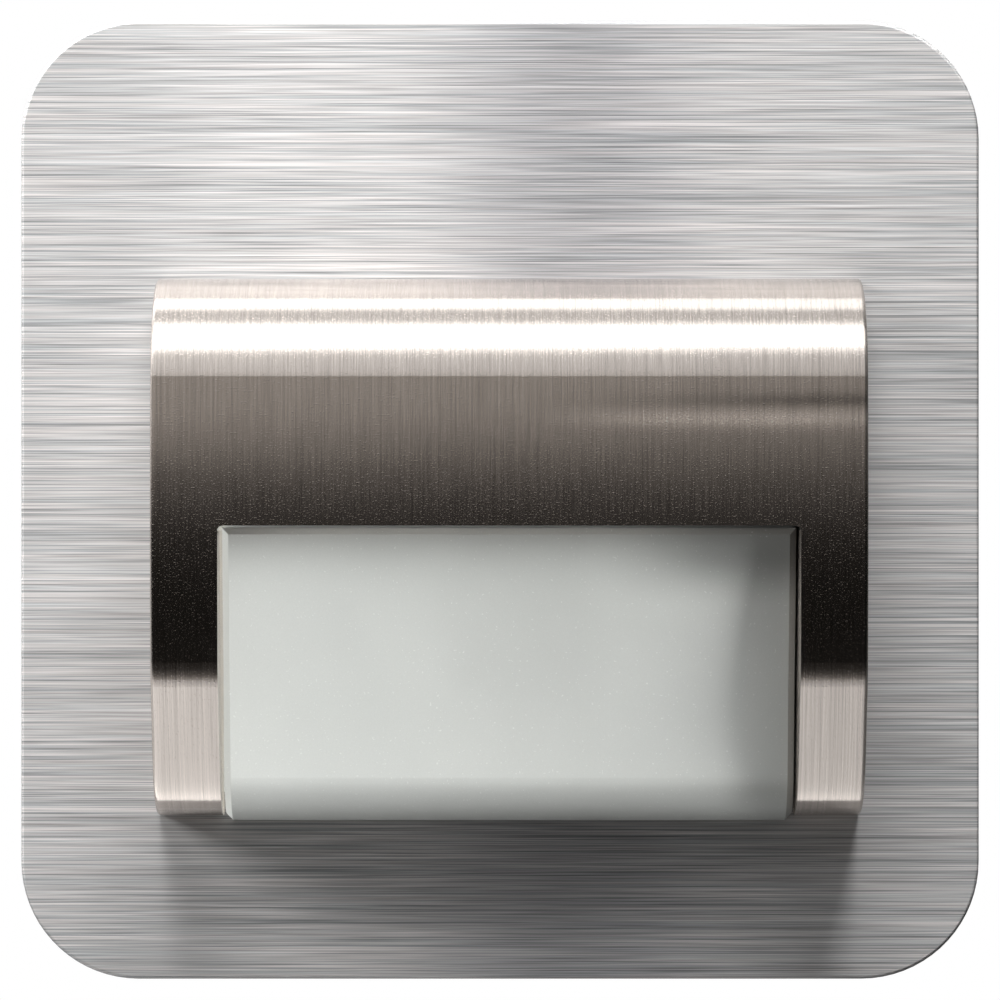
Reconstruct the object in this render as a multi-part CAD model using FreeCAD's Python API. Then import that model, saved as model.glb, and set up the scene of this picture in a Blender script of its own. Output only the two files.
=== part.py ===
"""Recessed step light for a 60 mm wall box, in millimetres.

+Z is up and the light faces -Y. The origin is on the wall plane, at the middle of the face plate.
Everything in front of the wall has a negative y, and the housing in the wall box a positive one.
"Height" is measured from the face plate's front, towards the viewer.
"""
import FreeCAD, Part
import math
import os

Vector = FreeCAD.Vector

# Face plate and the gasket behind it
plate_past_box = 7.5  # the plate reaches this far past the wall box at its middles
plate_thickness = 2.0
plate_corner_r = 9.2
plate_edge_r = 0.25
gasket_thickness = 1.0
gasket_inset = 1.5
gasket_to_housing = 2.0

# Hood: a cast shell whose side section is the same all along its width
hood_width = 54.8
hood_shift_x = 0.7  # the hood and lens sit this far right of the plate's middle
hood_height = 10.5
hood_top_z = 17.24
hood_top_r = 8.4
hood_crown_r = 150.0  # the front is very slightly crowned from top to bottom
hood_crown_z = -1.35
hood_bend_z = -12.4  # the legs bend here, and then slope back towards the plate
hood_bend_r = 7.0
hood_slope_deg = 20.0
hood_end_r = 7.0  # the rounding at the foot of the slope
hood_end_z = -24.6
hood_wall = 2.2
hood_edge_r = 0.3
rib_thickness = 1.2
rib_depth = 3.6
rib_spacing = 17.0

# Window in the hood, open at the foot, between the two legs
leg_width = 5.15  # each leg of the hood, beside the window
window_top_z = -1.95
window_corner_r = 0.4

# Lens: pressed glass, hollow at the back, which leans back towards its foot
lens_gap = 0.2
lens_top_height = 7.9
lens_lean_deg = 10.3
lens_bend_z = -21.5  # the lens starts to curve back to the plate here
lens_foot_r = 4.3
lens_wall = 2.4
lens_bevel = 0.5
flange_width = 1.3
flange_thickness = 1.2
flange_gap = 0.08
flange_end_z = -22.8
seal_width = 1.4
seal_thickness = 0.5

# Screws that hold the hood, countersunk into the plate's back
hood_screw_r = 1.25
hood_screw_head_r = 2.25
hood_screw_length = 8.0
hood_screw_sink = 0.05
leg_screw_z = -15.0
leg_screw_from_side = 2.2
boss_r = 3.0
boss_z = 11.5
boss_bite = 0.7  # the bosses run this far into the hood's side walls
drill_past = 0.5  # blind holes go this much deeper than their screws
drive_flats = 1.5
drive_depth = 0.7
thread_gap = 0.02
hole_gap = 0.1
over = 1.0  # cutters run this far past the faces that they cut
bite = 0.5  # added bosses, lugs and posts run this far into the wall that carries them
screw_bottom = 0.5  # what is left under a blind screw hole in a pad
tiny = 1e-6

# Housing in the wall box
box_r = 30.0
collar_gap = 1.0  # between the collar and the wall box
collar_length = 4.5
collar_rim = 0.5
collar_step = 1.6  # the housing is this much smaller in radius than its collar
housing_wall = 1.8
housing_rim = 1.0
ledge_width = 1.0
housing_seal_width = 1.6
housing_seal_depth = 0.8

# Studs on the plate's back that carry the housing
stud_r = 1.25
stud_turn_deg = 38.66  # how far the studs stand round from the light's sides
stud_length = 8.0
pillar_r = 3.8
pillar_bite = 0.61  # the pillars run this far into the housing's wall
pillar_floor = 5.0
nut_flats = 5.0
nut_thickness = 2.0
nut_socket_gap = 0.2

# Optical stack behind the plate
cut_height = 15.0
cut_corner_r = 2.0
cut_to_pillar = 0.2  # between the light box's flange and the pillars
light_box_depth = 7.0
light_box_wall = 1.0
light_box_lip = 1.2
light_box_taper = 2.4
led_ear_side = 0.5  # the screw ears are this much wider than the screws' heads, on each side
led_ear_thickness = 1.5
led_ear_to_wall = 0.8
led_board_to_pillar = 2.2
led_board_height = 17.0
led_board_corner_r = 1.5
led_board_thickness = 1.6
led_screw_spacing = 20.0
led_size = (3.5, 0.8, 2.8)
led_to_wall = 2.35
led_pitch_z = 4.8
led_pad_rim = 1.5
spreader_thickness = 2.0
small_screw_r = 1.0
small_screw_head_r = 1.9
small_screw_head = 1.4
screw_land = 0.7
screw_tip_gap = 0.3
stack_gap = 0.3

# Driver
board_thickness = 1.6
board_to_rear_wall = 1.0
driver_screw_from_ledge = 4.0
headroom = 1.0  # above the tallest piece on the driver board
pad_rim = 0.4
filter_r = 4.0
filter_length = 13.0
filter_rim = 0.5
filter_groove_from_foot = 1.8
filter_groove_width = 0.8
filter_groove_depth = 0.4
side_part_to_wall = 2.4
dropper_size = (13.0, 8.0, 5.5)
dropper_corner_r = 0.8
dropper_edge_r = 0.6
choke_r = 4.4
choke_height = 7.6
choke_flange = 1.27
choke_core_r = 2.0
choke_winding_r = 3.6
bridge_size = (8.4, 3.0, 6.2)
bridge_bevel = 0.4
chip_size = (5.0, 1.6, 4.0)
chip_bevel = 0.25
resistor_r = 1.6
resistor_length = 8.4
resistor_rim = 0.5
resistor_lead = 1.6
surge_r = 3.6
surge_thickness = 2.6
surge_rim = 0.7
surge_lift = 0.6
surge_leg_x = 2.2
lead_r = 0.3
pin_side_r = 0.5
pin_past_board = 0.6
led_pin_to_filter = 2.3
pin_clearance = 0.7
pin_row_half = 0.7  # what the terminal pins' solder takes of the driver board, up and down
strap_width = 4.0
strap_thickness = 0.5
strap_eye_r = 2.6
earth_stud_from_ledge = 4.4

# Terminal block and cable clamp on the rear wall
pole_pitch = 7.5
pole_count = 3
block_depth = 10.0
block_height = 10.4
block_wall = 1.3
block_ear = 4.4
block_ear_thickness = 2.4
wire_r = 1.6
wire_y_from_wall = 3.5
block_bevel = 3.0
block_ear_height = 6.2
block_ear_r = 3.0
cage_width = 4.6
cage_gap = 0.15
cage_depth = 5.4
terminal_screw_r = 1.3
terminal_head_r = 1.8
terminal_head = 1.6
terminal_head_gap = 0.2
terminal_backed_off = 0.5
terminal_slot = 0.6
cable_r = 3.5
clamp_z = -15.0
clamp_length = 5.0
clamp_top = 2.0

# Retaining arms, each pushed outwards by a torsion spring round its pin
flat_depth = 4.0
flat_half_width = 8.2
lug_r = 1.9
lug_thickness = 2.0
pin_r = 0.9
pin_from_flat = 2.75
pin_from_rear = 4.0
pin_clear = 0.05
pin_head_r = 1.35
pin_head = 0.5
arm_thickness = 0.7
arm_width = 9.6
arm_tip_width = 7.2
arm_length = 13.0
arm_angle_deg = 21.4
arm_tip = 2.0
arm_tip_bend_deg = 70.0
arm_side_gap = 0.3
arm_room_gap = 0.9  # round the coil, where the arm's eye is cut away
coil_room_gap = 0.2
coil_wire_r = 0.25
coil_gap = 0.15
coil_turns = 3
coil_pitch = 0.95
coil_leg = 3.6
coil_arm_leg = 7.5
coil_toe_in_deg = 7.0
coil_slot = 5.9

# Places that follow from the sizes above
plate_side = 2 * (box_r + plate_past_box)
plate_back_y = -gasket_thickness
front_y = plate_back_y - plate_thickness
hood_left = hood_shift_x - hood_width / 2
hood_right = hood_shift_x + hood_width / 2
window_width = hood_width - 2 * leg_width
leg_screw_x = hood_width / 2 - leg_screw_from_side
boss_x = hood_width / 2 - hood_wall - boss_r + boss_bite
lintel_top_z = window_top_z + hood_wall
lens_half = window_width / 2 - lens_gap
lens_top_z = window_top_z - lens_gap
lens_lean = math.radians(lens_lean_deg)
hood_screw_hole_r = hood_screw_r + hole_gap
hood_screws_at = [(hood_shift_x + side * leg_screw_x, leg_screw_z) for side in (-1, 1)]
hood_screws_at += [(hood_shift_x + side * boss_x, boss_z) for side in (-1, 1)]

# The housing is as deep as what it holds: light box, LED board, spreader, driver parts and board
led_face_y = plate_back_y + light_box_depth
spreader_y = led_face_y + led_board_thickness
ledge_y = spreader_y + spreader_thickness
board_y = ledge_y + headroom + max(dropper_size[1], 2 * filter_r, choke_height)
board_back_y = board_y + board_thickness
rear_wall_y = board_back_y + board_to_rear_wall
rear_y = rear_wall_y + housing_wall
collar_r = box_r - collar_gap
housing_r = collar_r - collar_step
inner_r = housing_r - housing_wall
ledge_r = inner_r - ledge_width
flat_x = housing_r - flat_depth
inner_flat_x = flat_x - housing_wall
pillar_floor_y = plate_back_y + pillar_floor
nut_corner_r = nut_flats / math.sqrt(3)
socket_r = nut_corner_r + nut_socket_gap
stud_ring_r = inner_r - pillar_r + pillar_bite
stud_x = stud_ring_r * math.cos(math.radians(stud_turn_deg))
stud_z = stud_ring_r * math.sin(math.radians(stud_turn_deg))
studs = [(x, z) for x in (-stud_x, stud_x) for z in (-stud_z, stud_z)]
earth_stud_z = ledge_r - earth_stud_from_ledge

# The optical stack fits between the two lower pillars, as low as the housing allows
cut_width = 2 * (stud_x - pillar_r - cut_to_pillar - light_box_lip + hole_gap)
led_ear_half = led_screw_spacing / 2 + small_screw_head_r
led_ear_width = 2 * (small_screw_head_r + led_ear_side)
cut_z = led_ear_half + led_ear_to_wall - inner_r
led_board_width = 2 * (stud_x - pillar_r - led_board_to_pillar)
funnel_half = cut_width / 2 - hole_gap - light_box_wall
led_pitch_x = funnel_half - light_box_taper / 2 - led_to_wall - led_size[0] / 2
led_screws_at = [(0, cut_z + side * led_screw_spacing / 2) for side in (-1, 1)]
led_pin_z = cut_z + led_screw_spacing / 2  # the pins stand in line with the upper screw

# The driver's parts: two beside the walls, the others spread above and below the row of pins
driver_screw_z = ledge_r - driver_screw_from_ledge
filter_x = side_part_to_wall + filter_r - inner_flat_x
choke_x = inner_flat_x - side_part_to_wall - choke_r
led_pin_x = inner_flat_x - side_part_to_wall - 2 * filter_r - led_pin_to_filter - pin_side_r
row_room = driver_screw_z - small_screw_head_r - pin_row_half
upper_gap = (row_room - dropper_size[2] - bridge_size[2]) / 3
bridge_z = pin_row_half + upper_gap + bridge_size[2] / 2
dropper_z = bridge_z + (bridge_size[2] + dropper_size[2]) / 2 + upper_gap
lower_gap = (row_room - chip_size[2] - 2 * resistor_r - surge_thickness) / 4
chip_z = -(pin_row_half + lower_gap + chip_size[2] / 2)
resistor_z = chip_z - chip_size[2] / 2 - lower_gap - resistor_r
surge_z = resistor_z - resistor_r - lower_gap - surge_thickness / 2

poles = [pole_pitch * (i - (pole_count - 1) / 2) for i in range(pole_count)]
block_half = pole_count * pole_pitch / 2
wire_y = rear_y + wire_y_from_wall
block_screw_x = block_half + block_ear / 2
clamp_screw_x = cable_r + clamp_top + small_screw_head_r + hole_gap
clamp_half = clamp_screw_x + small_screw_head_r + screw_land
pin_x = flat_x + pin_from_flat
pin_y = rear_y - pin_from_rear
eye_r = pin_r + pin_clear + arm_thickness
lug_z = arm_width / 2 + arm_side_gap
coil_r = pin_r + coil_gap + coil_wire_r
arm_angle = math.radians(arm_angle_deg)


# Shapes used by many pieces

def box(x0, x1, y0, y1, z0, z1):
    return Part.makeBox(x1 - x0, y1 - y0, z1 - z0, Vector(x0, y0, z0))


def rod_y(r, x, z, y0, y1):
    return Part.makeCylinder(r, y1 - y0, Vector(x, y0, z), Vector(0, 1, 0))


def rod_z(r, x, y, z0, z1):
    return Part.makeCylinder(r, z1 - z0, Vector(x, y, z0), Vector(0, 0, 1))


def rod_x(r, y, z, x0, x1):
    return Part.makeCylinder(r, x1 - x0, Vector(x0, y, z), Vector(1, 0, 0))


def line(a, b):
    return Part.makeLine(a, b)


def arc(a, middle, b):
    return Part.Arc(a, middle, b).toShape()


def prism(edges, along):
    return Part.Face(Part.Wire(edges)).extrude(along)


def polygon_prism(points, along):
    corners = list(points)
    return Part.Face(Part.makePolygon(corners + corners[:1])).extrude(along)


def rounded_rectangle(width, height, r, y, x=0.0, z=0.0):
    """A closed wire square to Y."""
    a, b = width / 2, height / 2
    turn = r * (1 - math.sqrt(0.5))
    edges = []
    for sx, sz in ((1, 1), (-1, 1), (-1, -1), (1, -1)):
        on_side = Vector(x + sx * a, y, z + sz * (b - r))
        corner = Vector(x + sx * (a - turn), y, z + sz * (b - turn))
        on_end = Vector(x + sx * (a - r), y, z + sz * b)
        first, last = (on_side, on_end) if sx * sz > 0 else (on_end, on_side)
        edges.append((first, arc(first, corner, last), last))
    loop = []
    for i, (_, corner_edge, last) in enumerate(edges):
        loop += [corner_edge, line(last, edges[(i + 1) % 4][0])]
    return Part.Wire(loop)


def slab(width, height, r, y0, y1, x=0.0, z=0.0):
    return Part.Face(rounded_rectangle(width, height, r, y0, x, z)).extrude(Vector(0, y1 - y0, 0))


def funnel(front, rear, y0, y1, z):
    """A solid that tapers from one rounded rectangle to another; each is (width, height, corner)."""
    ends = [rounded_rectangle(*front, y0, 0, z), rounded_rectangle(*rear, y1, 0, z)]
    return Part.makeLoft(ends, True, True)


def fuse(first, *rest):
    return first.fuse(list(rest)).removeSplitter()


def group(solids):
    return Part.makeCompound(list(solids))


def mirrored(shape):
    return shape.mirror(Vector(0, 0, 0), Vector(1, 0, 0))


def pan_screw(r, head_r, head, x, z, head_y, tip_y):
    """A screw along Y with its head's underside at head_y."""
    way = 1 if tip_y > head_y else -1
    shank = rod_y(r, x, z, min(head_y, tip_y), max(head_y, tip_y))
    top_y = head_y - way * head
    cap = rod_y(head_r, x, z, min(head_y, top_y), max(head_y, top_y))
    rim = [e for e in cap.Edges if len(e.Vertexes) == 1 and abs(e.Vertexes[0].Y - top_y) < tiny]
    return fuse(cap.makeChamfer(head / 3, rim), shank)


def hexagon(flats, x, z, y0, y1):
    r = flats / math.sqrt(3)
    turns = [math.radians(60 * i) for i in range(6)]
    corners = [Vector(x + r * math.cos(t), y0, z + r * math.sin(t)) for t in turns]
    return polygon_prism(corners, Vector(0, y1 - y0, 0))


# Face plate, gasket and what fastens them

def face_plate():
    plate = slab(plate_side, plate_side, plate_corner_r, front_y, plate_back_y)
    rim = [e for e in plate.Edges if e.BoundBox.YMax < front_y + tiny]
    plate = plate.makeFillet(plate_edge_r, rim)
    opening = slab(cut_width, cut_height, cut_corner_r, front_y - over, plate_back_y + over, 0, cut_z)
    holes = [countersink(x, z) for x, z in hood_screws_at]
    return plate.cut([opening] + holes)


def countersink(x, z):
    """The hole for a hood screw, with room for its head in the plate's back."""
    through = rod_y(hood_screw_hole_r, x, z, front_y - over, plate_back_y + over)
    wide = hood_screw_head_r + hole_gap
    depth = wide - hood_screw_hole_r
    cone = Part.makeCone(wide, hood_screw_hole_r, depth, Vector(x, plate_back_y, z), Vector(0, -1, 0))
    return fuse(through, cone)


def hood_screw(x, z):
    head_y = plate_back_y - hood_screw_sink
    taper = hood_screw_head_r - hood_screw_r
    head = Part.makeCone(hood_screw_head_r, hood_screw_r, taper, Vector(x, head_y, z), Vector(0, -1, 0))
    shank = rod_y(hood_screw_r, x, z, head_y - hood_screw_length, head_y - taper)
    drive = hexagon(drive_flats, x, z, head_y - drive_depth, head_y + over)
    return fuse(head, shank).cut(drive)


def wall_gasket():
    side = plate_side - 2 * gasket_inset
    sheet = slab(side, side, plate_corner_r - gasket_inset, plate_back_y, 0)
    return sheet.cut(rod_y(collar_r + gasket_to_housing, 0, 0, plate_back_y - over, 1))


def plate_studs():
    bases = studs + [(0, earth_stud_z)]
    return group(rod_y(stud_r, x, z, plate_back_y, plate_back_y + stud_length) for x, z in bases)


def stud_nut(x, z, y):
    nut = hexagon(nut_flats, x, z, y, y + nut_thickness)
    return nut.cut(rod_y(stud_r + thread_gap, x, z, y - over, y + nut_thickness + over))


def stud_nuts():
    nuts = [stud_nut(x, z, pillar_floor_y) for x, z in studs]
    return group(nuts + [stud_nut(0, earth_stud_z, plate_back_y + strap_thickness)])


# Hood

def hood_arcs():
    """The arcs of the hood's side section, as (height, z, radius, first tilt, last tilt) of each."""
    crown_h = hood_height - hood_crown_r
    share = hood_top_r / hood_crown_r
    meet_z = (hood_top_z - hood_top_r - share * hood_crown_z) / (1 - share)
    top_tilt = math.asin((meet_z - hood_crown_z) / hood_crown_r)
    bend_tilt = math.asin((hood_bend_z - hood_crown_z) / hood_crown_r)
    slope_tilt = -math.radians(hood_slope_deg)

    def centre(tilt, r):
        inwards = hood_crown_r - r
        return crown_h + inwards * math.cos(tilt), hood_crown_z + inwards * math.sin(tilt)

    bend_h, bend_z = centre(bend_tilt, hood_bend_r)
    end_z = hood_end_z + hood_end_r
    down = (hood_bend_r - hood_end_r) * math.cos(slope_tilt)
    along = (bend_z - end_z + (hood_bend_r - hood_end_r) * math.sin(slope_tilt)) * math.tan(-slope_tilt)
    return [
        (*centre(top_tilt, hood_top_r), hood_top_r, math.pi / 2, top_tilt),
        (crown_h, hood_crown_z, hood_crown_r, top_tilt, bend_tilt),
        (bend_h, bend_z, hood_bend_r, bend_tilt, slope_tilt),
        (bend_h + down - along, end_z, hood_end_r, slope_tilt, -math.pi / 2),
    ]


def hood_section(inset, back):
    """The hood's side section from its back (a height) to its front, drawn inwards by inset."""
    def at(height, z):
        return Vector(hood_left, front_y - height, z)

    start = at(back, hood_top_z - inset)
    edges, last = [], start
    for centre_h, centre_z, r, first_tilt, last_tilt in hood_arcs():
        turns = (first_tilt, (first_tilt + last_tilt) / 2, last_tilt)
        points = [
            at(centre_h + (r - inset) * math.cos(turn), centre_z + (r - inset) * math.sin(turn))
            for turn in turns
        ]
        if last.distanceToPoint(points[0]) > tiny:
            edges.append(line(last, points[0]))
        edges.append(arc(*points))
        last = points[-1]
    back_end = at(back, last.z)
    return edges + [line(last, back_end), line(back_end, start)]


def hood_shell():
    """The outside of the hood, with its side edges rounded and the space above the lintel hollowed."""
    outside = prism(hood_section(0, 0), Vector(hood_width, 0, 0))
    sides = [
        e for e in outside.Edges
        if e.BoundBox.XLength < tiny and e.BoundBox.YMin < front_y - tiny
    ]
    outside = outside.makeFillet(hood_edge_r, sides)
    hollow = prism(hood_section(hood_wall, -over), Vector(hood_width, 0, 0))
    room = box(
        hood_left + hood_wall, hood_right - hood_wall,
        front_y - hood_height, front_y + over,
        lintel_top_z, hood_top_z,
    )
    return outside.cut(hollow.common(room))


def hood_window():
    """The window between the legs, and the rebate behind it that the lens's flange lies in."""
    below = hood_end_z - over
    height = window_top_z - below
    middle_z = (window_top_z + below) / 2
    window = slab(
        window_width, height, window_corner_r, front_y - hood_height - over, front_y + over,
        hood_shift_x, middle_z,
    )
    half = lens_half + flange_width + flange_gap
    rebate = box(
        hood_shift_x - half, hood_shift_x + half,
        front_y - flange_thickness - flange_gap, front_y + over,
        flange_end_z - flange_gap, lintel_top_z + flange_gap,
    )
    return [window, rebate]


def hood():
    front = front_y - hood_height + hood_wall / 2
    bosses = [rod_y(boss_r, hood_shift_x + side * boss_x, boss_z, front, front_y) for side in (-1, 1)]
    ribs = [
        box(
            x - rib_thickness / 2, x + rib_thickness / 2,
            front, front + rib_depth,
            lintel_top_z - hood_wall / 2, hood_top_z - hood_wall / 2,
        )
        for x in (hood_shift_x - rib_spacing / 2, hood_shift_x + rib_spacing / 2)
    ]
    inside = prism(hood_section(hood_wall / 2, 0), Vector(hood_width, 0, 0))
    inner_parts = [piece.common(inside) for piece in bosses + ribs]
    bottom = plate_back_y - hood_screw_length - drill_past
    holes = [rod_y(hood_screw_r + thread_gap, x, z, bottom, front_y + over) for x, z in hood_screws_at]
    solid = hood_shell().fuse(inner_parts)
    return solid.cut(hood_window() + holes).removeSplitter()


# Lens and its seal

def lens_section(inset, back):
    """The lens's side section, drawn inwards by inset."""
    x = hood_shift_x - lens_half

    def at(height, z):
        return Vector(x, front_y - height, z)

    lean_cos, lean_sin = math.cos(lens_lean), math.sin(lens_lean)
    slope = lean_sin / lean_cos
    top_z = lens_top_z - inset
    top_h = lens_top_height - inset / lean_cos + slope * (top_z - lens_top_z)
    bend_h = lens_top_height + slope * (lens_bend_z - lens_top_z)
    centre_h = bend_h - lens_foot_r * lean_cos
    centre_z = lens_bend_z + lens_foot_r * lean_sin
    r = lens_foot_r - inset
    end_turn = math.acos((back - centre_h) / r)
    half_turn = (lens_lean + end_turn) / 2

    def on_foot(turn):
        return at(centre_h + r * math.cos(turn), centre_z - r * math.sin(turn))

    return [
        line(at(back, top_z), at(top_h, top_z)),
        line(at(top_h, top_z), on_foot(lens_lean)),
        arc(on_foot(lens_lean), on_foot(half_turn), on_foot(end_turn)),
        line(on_foot(end_turn), at(back, top_z)),
    ]


def lens():
    outside = prism(lens_section(0, 0), Vector(2 * lens_half, 0, 0))
    left, right = hood_shift_x - lens_half, hood_shift_x + lens_half
    front = outside.BoundBox.YMin
    rim = []
    for edge in outside.Edges:
        span = edge.BoundBox
        on_side = span.XLength < tiny and span.ZLength > tiny and span.YMin < front_y - tiny
        along_top = span.XLength > tiny and span.YMax < front + tiny
        if on_side or along_top:
            rim.append(edge)
    outside = outside.makeChamfer(lens_bevel, rim)
    half = lens_half + flange_width
    flange = box(
        hood_shift_x - half, hood_shift_x + half,
        front_y - flange_thickness, front_y,
        flange_end_z, lintel_top_z,
    )
    hollow = prism(lens_section(lens_wall, -over), Vector(2 * lens_half, 0, 0))
    room = box(left + lens_wall, right - lens_wall, front_y - hood_height, front_y + over, -plate_side, 0)
    return fuse(outside, flange).cut([hollow.common(room), lens_seal()])


def lens_foot_end_z(inset):
    """Where the lens's curved foot meets the plate, drawn inwards by inset."""
    bend_h = lens_top_height + math.tan(lens_lean) * (lens_bend_z - lens_top_z)
    centre_h = bend_h - lens_foot_r * math.cos(lens_lean)
    centre_z = lens_bend_z + lens_foot_r * math.sin(lens_lean)
    return centre_z - math.sqrt((lens_foot_r - inset) ** 2 - centre_h ** 2)


def lens_seal():
    """The seal lies in a groove along the middle of the glass round the lens's hollow back."""
    middle = lens_wall / 2
    top = lens_top_z - middle
    bottom = (lens_foot_end_z(0) + lens_foot_end_z(lens_wall)) / 2
    width, height = 2 * (lens_half - middle), top - bottom
    x, z = hood_shift_x, (top + bottom) / 2
    y0 = front_y - seal_thickness
    outer = slab(width + seal_width, height + seal_width, seal_width, y0, front_y, x, z)
    inner = slab(width - seal_width, height - seal_width, seal_width / 2, y0 - over, front_y + over, x, z)
    return outer.cut(inner)


# Optical stack

def light_box():
    """A white funnel: a collar in the plate's cut-out, a flange on the plate's back, and two ears."""
    collar = (cut_width - 2 * hole_gap, cut_height - 2 * hole_gap, cut_corner_r - hole_gap)
    wall = light_box_wall
    inner = (collar[0] - 2 * wall, collar[1] - 2 * wall, cut_corner_r - wall)
    rear_inner = (inner[0] - light_box_taper, inner[1] - light_box_taper, inner[2])
    rear_outer = (rear_inner[0] + 2 * wall, rear_inner[1] + 2 * wall, collar[2])
    throat = slab(*collar, front_y + hole_gap, plate_back_y, 0, cut_z)
    lip = (collar[0] + 2 * light_box_lip, collar[1] + 2 * light_box_lip, cut_corner_r)
    flange = slab(*lip, plate_back_y, plate_back_y + wall, 0, cut_z)
    body = funnel(collar, rear_outer, plate_back_y, led_face_y, cut_z)
    ears = slab(
        led_ear_width, 2 * led_ear_half, small_screw_head_r, led_face_y - led_ear_thickness, led_face_y,
        0, cut_z,
    )
    front_room = slab(*inner, front_y - over, plate_back_y, 0, cut_z)
    hollow = funnel(inner, rear_inner, plate_back_y, led_face_y, cut_z)
    holes = [rod_y(small_screw_r + hole_gap, x, z, plate_back_y, spreader_y) for x, z in led_screws_at]
    return fuse(throat, flange, body, ears).cut([front_room, hollow] + holes)


def led_board():
    body = slab(led_board_width, led_board_height, led_board_corner_r, led_face_y, spreader_y, 0, cut_z)
    ears = slab(led_ear_width, 2 * led_ear_half, led_board_corner_r, led_face_y, spreader_y, 0, cut_z)
    pin_pad = box(
        -led_pin_x - led_pad_rim, led_pin_x + led_pad_rim, led_face_y, spreader_y,
        cut_z, led_pin_z + led_pad_rim,
    )
    through = (led_face_y - over, spreader_y + over)
    holes = [rod_y(small_screw_r + hole_gap, x, z, *through) for x, z in led_screws_at]
    holes += [rod_y(pin_side_r, side * led_pin_x, led_pin_z, *through) for side in (-1, 1)]
    return fuse(body, ears, pin_pad).cut(holes)


def led_chips():
    width, depth, height = led_size
    return group(
        box(
            x - width / 2, x + width / 2, led_face_y - depth, led_face_y,
            z - height / 2, z + height / 2,
        )
        for x in (-led_pitch_x, 0, led_pitch_x)
        for z in (cut_z - led_pitch_z / 2, cut_z + led_pitch_z / 2)
    )


def led_screws():
    head_y, tip_y = led_face_y - led_ear_thickness, ledge_y - screw_tip_gap
    return group(
        pan_screw(small_screw_r, small_screw_head_r, small_screw_head, x, z, head_y, tip_y)
        for x, z in led_screws_at
    )


def disc(r, y0, y1):
    """A round board that fits in the housing, with its flats and with notches for the pillars."""
    round_blank = rod_y(r, 0, 0, y0, y1)
    across = inner_flat_x - stack_gap
    blank = round_blank.common(box(-across, across, y0, y1, -r, r))
    return blank.cut([rod_y(pillar_r + stack_gap, x, z, y0 - over, y1 + over) for x, z in studs])


def strap_notch(y0, y1):
    half = strap_width / 2 + stack_gap
    return box(-half, half, y0 - over, y1 + over, earth_strap_z() - stack_gap, housing_r)


def heat_spreader():
    plate = disc(inner_r - stack_gap, spreader_y, ledge_y)
    through = (spreader_y - over, ledge_y + over)
    holes = [
        rod_y(pin_side_r + pin_clearance, side * led_pin_x, led_pin_z, *through)
        for side in (-1, 1)
    ]
    holes += [rod_y(small_screw_r + thread_gap, x, z, *through) for x, z in led_screws_at]
    return plate.cut(holes + [strap_notch(spreader_y, ledge_y)])


def led_pins():
    return group(
        rod_y(pin_side_r, side * led_pin_x, led_pin_z, led_face_y, board_back_y)
        for side in (-1, 1)
    )


# Driver

def driver_board():
    board = disc(ledge_r - stack_gap, board_y, board_back_y)
    through = (board_y - over, board_back_y + over)
    holes = [rod_y(small_screw_r + hole_gap, 0, side * driver_screw_z, *through) for side in (-1, 1)]
    holes += [rod_y(pin_side_r, side * led_pin_x, led_pin_z, *through) for side in (-1, 1)]
    holes += [rod_y(pin_side_r, x, 0, *through) for x in poles]
    return board.cut(holes + [strap_notch(board_y, board_back_y)])


def driver_screws():
    return group(
        pan_screw(
            small_screw_r, small_screw_head_r, small_screw_head,
            0, side * driver_screw_z, board_y, rear_wall_y + housing_wall / 2,
        )
        for side in (-1, 1)
    )


def filter_capacitor():
    """An electrolytic capacitor that lies on the board, with a rolled groove near its foot."""
    y = board_y - filter_r
    z0, z1 = -filter_length / 2, filter_length / 2
    can = rod_z(filter_r, filter_x, y, z0, z1)
    can = can.makeChamfer(filter_rim, [e for e in can.Edges if len(e.Vertexes) == 1])
    groove_z = z0 + filter_groove_from_foot
    groove = rod_z(filter_r + over, filter_x, y, groove_z, groove_z + filter_groove_width)
    core = rod_z(filter_r - filter_groove_depth, filter_x, y, z0, z1)
    return can.cut(groove.cut(core))


def dropper_capacitor():
    width, depth, height = dropper_size
    body = slab(width, height, dropper_corner_r, board_y - depth, board_y, 0, dropper_z)
    top = [e for e in body.Edges if e.BoundBox.YMax < board_y - depth + tiny]
    return body.makeFillet(dropper_edge_r, top)


def choke():
    """A drum core with its winding between two flanges."""
    y0 = board_y - choke_height
    core = rod_y(choke_core_r, choke_x, 0, y0, board_y)
    rims = [rod_y(choke_r, choke_x, 0, y, y + choke_flange) for y in (y0, board_y - choke_flange)]
    winding = rod_y(choke_winding_r, choke_x, 0, y0 + choke_flange, board_y - choke_flange)
    return fuse(core, winding, *rims)


def board_part(size, z, chamfer):
    """A moulded package with a bevelled top."""
    width, depth, height = size
    body = box(-width / 2, width / 2, board_y - depth, board_y, z - height / 2, z + height / 2)
    return body.makeChamfer(chamfer, [e for e in body.Edges if e.BoundBox.YMax < board_y - depth + tiny])


def bridge_rectifier():
    return board_part(bridge_size, bridge_z, bridge_bevel)


def control_chip():
    return board_part(chip_size, chip_z, chip_bevel)


def fuse_resistor():
    """A resistor lying along X, with its leads bent down to the board."""
    y = board_y - resistor_r - lead_r
    half = resistor_length / 2
    body = rod_x(resistor_r, y, resistor_z, -half, half)
    body = body.makeChamfer(resistor_rim, [e for e in body.Edges if len(e.Vertexes) == 1])
    reach = half + resistor_lead
    lead = rod_x(lead_r, y, resistor_z, -reach, reach)
    feet = [rod_y(lead_r, side * reach, resistor_z, y, board_y) for side in (-1, 1)]
    knees = [Part.makeSphere(lead_r, Vector(side * reach, y, resistor_z)) for side in (-1, 1)]
    return fuse(body, lead, *feet, *knees)


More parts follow.
